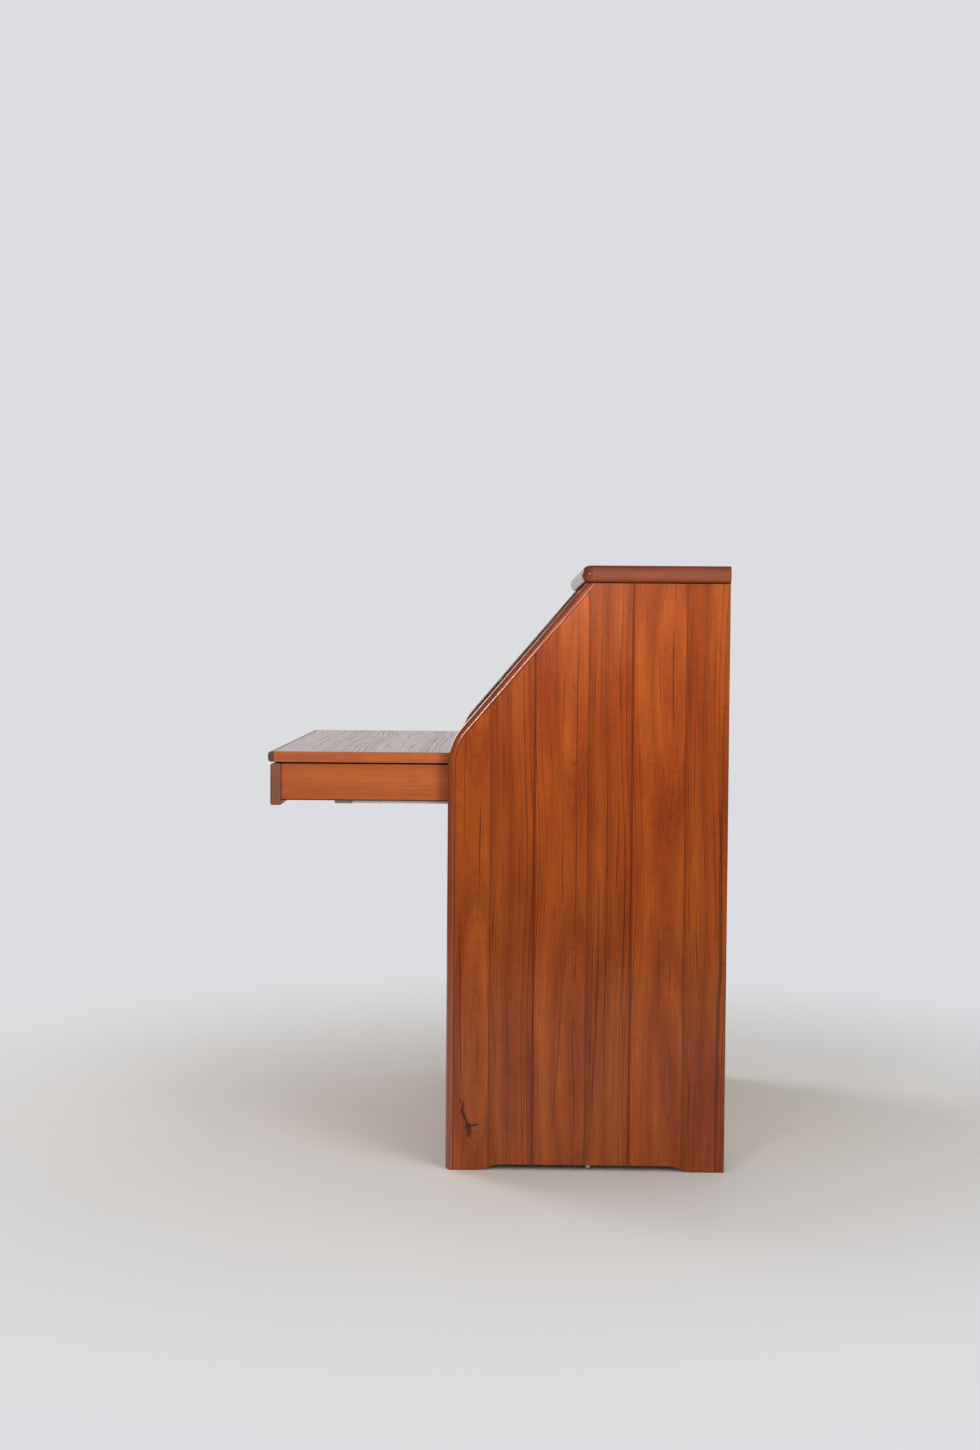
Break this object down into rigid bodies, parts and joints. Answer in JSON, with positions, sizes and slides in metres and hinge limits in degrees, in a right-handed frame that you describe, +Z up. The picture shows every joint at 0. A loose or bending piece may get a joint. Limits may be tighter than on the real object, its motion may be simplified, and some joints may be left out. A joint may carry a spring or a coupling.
{
  "type": "secretary desk",
  "caption": "Slant-front teak secretary desk: hinged writing flap on a pull-out drawer with telescopic slides, deep drawers below, pigeonholes behind the slope.",
  "frame": {"origin": "middle of the floor area that the desk covers with its flap and writing drawer out, on the floor", "axes": "+Z up, +Y from the front to the back, +X to the right of someone looking at the front from behind it along +Y"},
  "size_m": [0.903, 0.828, 1.09],
  "materials": {
    "teak_veneer": "oiled teak veneer, satin",
    "teak_solid": "oiled solid teak, satin",
    "beech": "lacquered beech",
    "plywood": "birch plywood, plain",
    "zinc_steel": "zinc-plated folded sheet",
    "nylon": "natural nylon",
    "brass": "satin brass",
    "felt": "green felt"
  },
  "bodies": {
    "case": {"back_panel": "plywood", "bay_divider_left": "teak_veneer", "bay_divider_right": "teak_veneer", "bottom_board": "teak_veneer", "carcass_top": "teak_veneer", "drawer_deck": "teak_veneer", "drawer_rail_1": "teak_veneer", "drawer_rail_2": "teak_veneer", "drawer_shelf_left": "teak_veneer", "drawer_shelf_right": "teak_veneer", "hinge_bed_leaves": "brass", "hinge_pins": "brass", "letter_shelf": "teak_veneer", "lower_drawer_runners": "beech", "plinth_rail": "teak_veneer", "side_lipping_left": "teak_solid", "side_lipping_right": "teak_solid", "side_panel_left": "teak_veneer", "side_panel_right": "teak_veneer", "slide_case_rails": "zinc_steel", "top_core": "teak_veneer", "top_front_nosing": "teak_solid", "top_side_nosings": "teak_solid", "writing_bed": "teak_veneer"},
    "flap": {"flap_core": "teak_veneer", "flap_side_lippings": "teak_solid", "flap_tip_lipping": "teak_solid", "hinge_flap_leaves": "brass"},
    "writing_drawer": {"flap_rest_pads": "felt", "slide_drawer_rails": "zinc_steel", "writing_drawer_back": "beech", "writing_drawer_bottom": "plywood", "writing_drawer_front": "teak_solid", "writing_drawer_side_left": "teak_solid", "writing_drawer_side_right": "teak_solid"},
    "slide_runner_pair": {"slide_runners": "zinc_steel", "slide_shoes": "nylon"},
    "lower_drawer_1": {"lower_drawer_1_back": "beech", "lower_drawer_1_bottom": "plywood", "lower_drawer_1_front": "teak_solid", "lower_drawer_1_side_left": "beech", "lower_drawer_1_side_right": "beech"},
    "lower_drawer_2": {"lower_drawer_2_back": "beech", "lower_drawer_2_bottom": "plywood", "lower_drawer_2_front": "teak_solid", "lower_drawer_2_side_left": "beech", "lower_drawer_2_side_right": "beech"},
    "lower_drawer_3": {"lower_drawer_3_back": "beech", "lower_drawer_3_bottom": "plywood", "lower_drawer_3_front": "teak_solid", "lower_drawer_3_side_left": "beech", "lower_drawer_3_side_right": "beech"},
    "inner_drawer_left": {"inner_drawer_left_front": "teak_solid", "inner_drawer_left_knob": "brass", "inner_drawer_left_tray": "beech"},
    "inner_drawer_right": {"inner_drawer_right_front": "teak_solid", "inner_drawer_right_knob": "brass", "inner_drawer_right_tray": "beech"}
  },
  "joints": [
    {"name": "flap_hinge", "type": "hinge", "parent": "case", "child": "flap", "pos_m": [0, -0.06051, 0.752], "axis": [-1, 0, 0], "range_deg": [0, 130.4]},
    {"name": "writing_drawer_slide", "type": "slide", "parent": "case", "child": "writing_drawer", "axis": [0, 1, 0], "range_m": [0, 0.321]},
    {"name": "slide_runner_travel", "type": "slide", "parent": "case", "child": "slide_runner_pair", "axis": [0, 1, 0], "range_m": [0, 0.233]},
    {"name": "lower_drawer_1_slide", "type": "slide", "parent": "case", "child": "lower_drawer_1", "axis": [0, -1, 0], "range_m": [0, 0.33]},
    {"name": "lower_drawer_2_slide", "type": "slide", "parent": "case", "child": "lower_drawer_2", "axis": [0, -1, 0], "range_m": [0, 0.33]},
    {"name": "lower_drawer_3_slide", "type": "slide", "parent": "case", "child": "lower_drawer_3", "axis": [0, -1, 0], "range_m": [0, 0.33]},
    {"name": "inner_drawer_left_slide", "type": "slide", "parent": "case", "child": "inner_drawer_left", "axis": [0, -1, 0], "range_m": [0, 0.15]},
    {"name": "inner_drawer_right_slide", "type": "slide", "parent": "case", "child": "inner_drawer_right", "axis": [0, -1, 0], "range_m": [0, 0.15]}
  ],
  "couplings": [
    {"joint": "slide_runner_travel", "follows": "writing_drawer_slide", "ratio": 0.7258}
  ]
}
